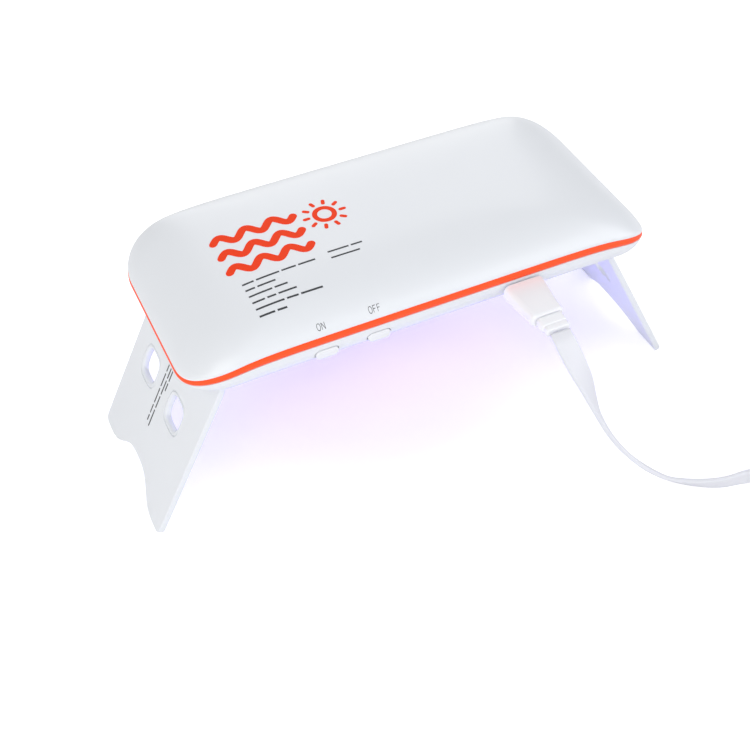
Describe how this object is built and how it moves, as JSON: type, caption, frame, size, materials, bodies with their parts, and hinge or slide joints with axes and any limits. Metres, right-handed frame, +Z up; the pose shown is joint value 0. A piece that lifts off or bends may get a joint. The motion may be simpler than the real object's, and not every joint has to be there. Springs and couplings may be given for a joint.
{
  "type": "uv sterilization lamp",
  "caption": "Low bridge-shaped ultraviolet sterilizing lamp with a soft pillow body, fold-flat leg panels, push buttons and a flat cord on the front.",
  "frame": {"origin": "on the table, under the centre of the body", "axes": "+X along the body towards the lamp's right as seen from its buttons, +Y from the buttons to the back, +Z up"},
  "size_m": [0.2598, 0.1531, 0.0695],
  "materials": {
    "shell": "smooth satin-gloss moulded plastic",
    "band": "smooth orange plastic",
    "button": "smooth white plastic",
    "window": "clear ultraviolet-passing window",
    "reflector": "vacuum-metallised flutes",
    "board": "green circuit board",
    "emitter": "lit violet emitter",
    "black_plastic": "moulded black plastic",
    "steel": "plain steel",
    "plug_metal": "nickel-plated sheet",
    "cord": "soft white cable plastic"
  },
  "bodies": {
    "lamp": {"top_shell": "shell", "bottom_shell": "shell", "trim_band": "band", "window_plate": "window", "reflector": "reflector", "led_board": "board", "control_board": "board", "uvc_led_left": "emitter", "uvc_led_middle": "emitter", "uvc_led_right": "emitter", "switch_left": "black_plastic", "switch_right": "black_plastic", "control_chip": "black_plastic", "drive_inductor": "black_plastic", "far_plug_tongue": "black_plastic", "cord_tie": "black_plastic", "usb_socket": "steel", "left_hinge_pin": "steel", "right_hinge_pin": "steel", "left_leg_spring": "steel", "right_leg_spring": "steel", "case_screw_front_left": "steel", "case_screw_front_right": "steel", "case_screw_rear_left": "steel", "case_screw_rear_right": "steel", "plug_tip": "plug_metal", "far_plug_shell": "plug_metal", "cord": "cord", "cord_coil": "cord", "cord_tail": "cord", "plug_grip": "cord", "strain_relief": "cord", "far_plug_grip": "cord", "board_link": "cord"},
    "left_leg": {"left_leg": "shell"},
    "right_leg": {"right_leg": "shell"},
    "button_left": {"button_left": "button"},
    "button_right": {"button_right": "button"}
  },
  "joints": [
    {"name": "left_leg_fold", "type": "hinge", "parent": "lamp", "child": "left_leg", "pos_m": [-0.0574, 0, 0.05036], "axis": [0, -1, 0], "range_deg": [0, 117]},
    {"name": "right_leg_fold", "type": "hinge", "parent": "lamp", "child": "right_leg", "pos_m": [0.0574, 0, 0.05036], "axis": [0, 1, 0], "range_deg": [0, 117]},
    {"name": "button_left_press", "type": "slide", "parent": "lamp", "child": "button_left", "axis": [0, 1, 0], "range_m": [0, 0.0005], "stiffness_N_per_m": 2000, "springref_m": -0.0003},
    {"name": "button_right_press", "type": "slide", "parent": "lamp", "child": "button_right", "axis": [0, 1, 0], "range_m": [0, 0.0005], "stiffness_N_per_m": 2000, "springref_m": -0.0003}
  ]
}
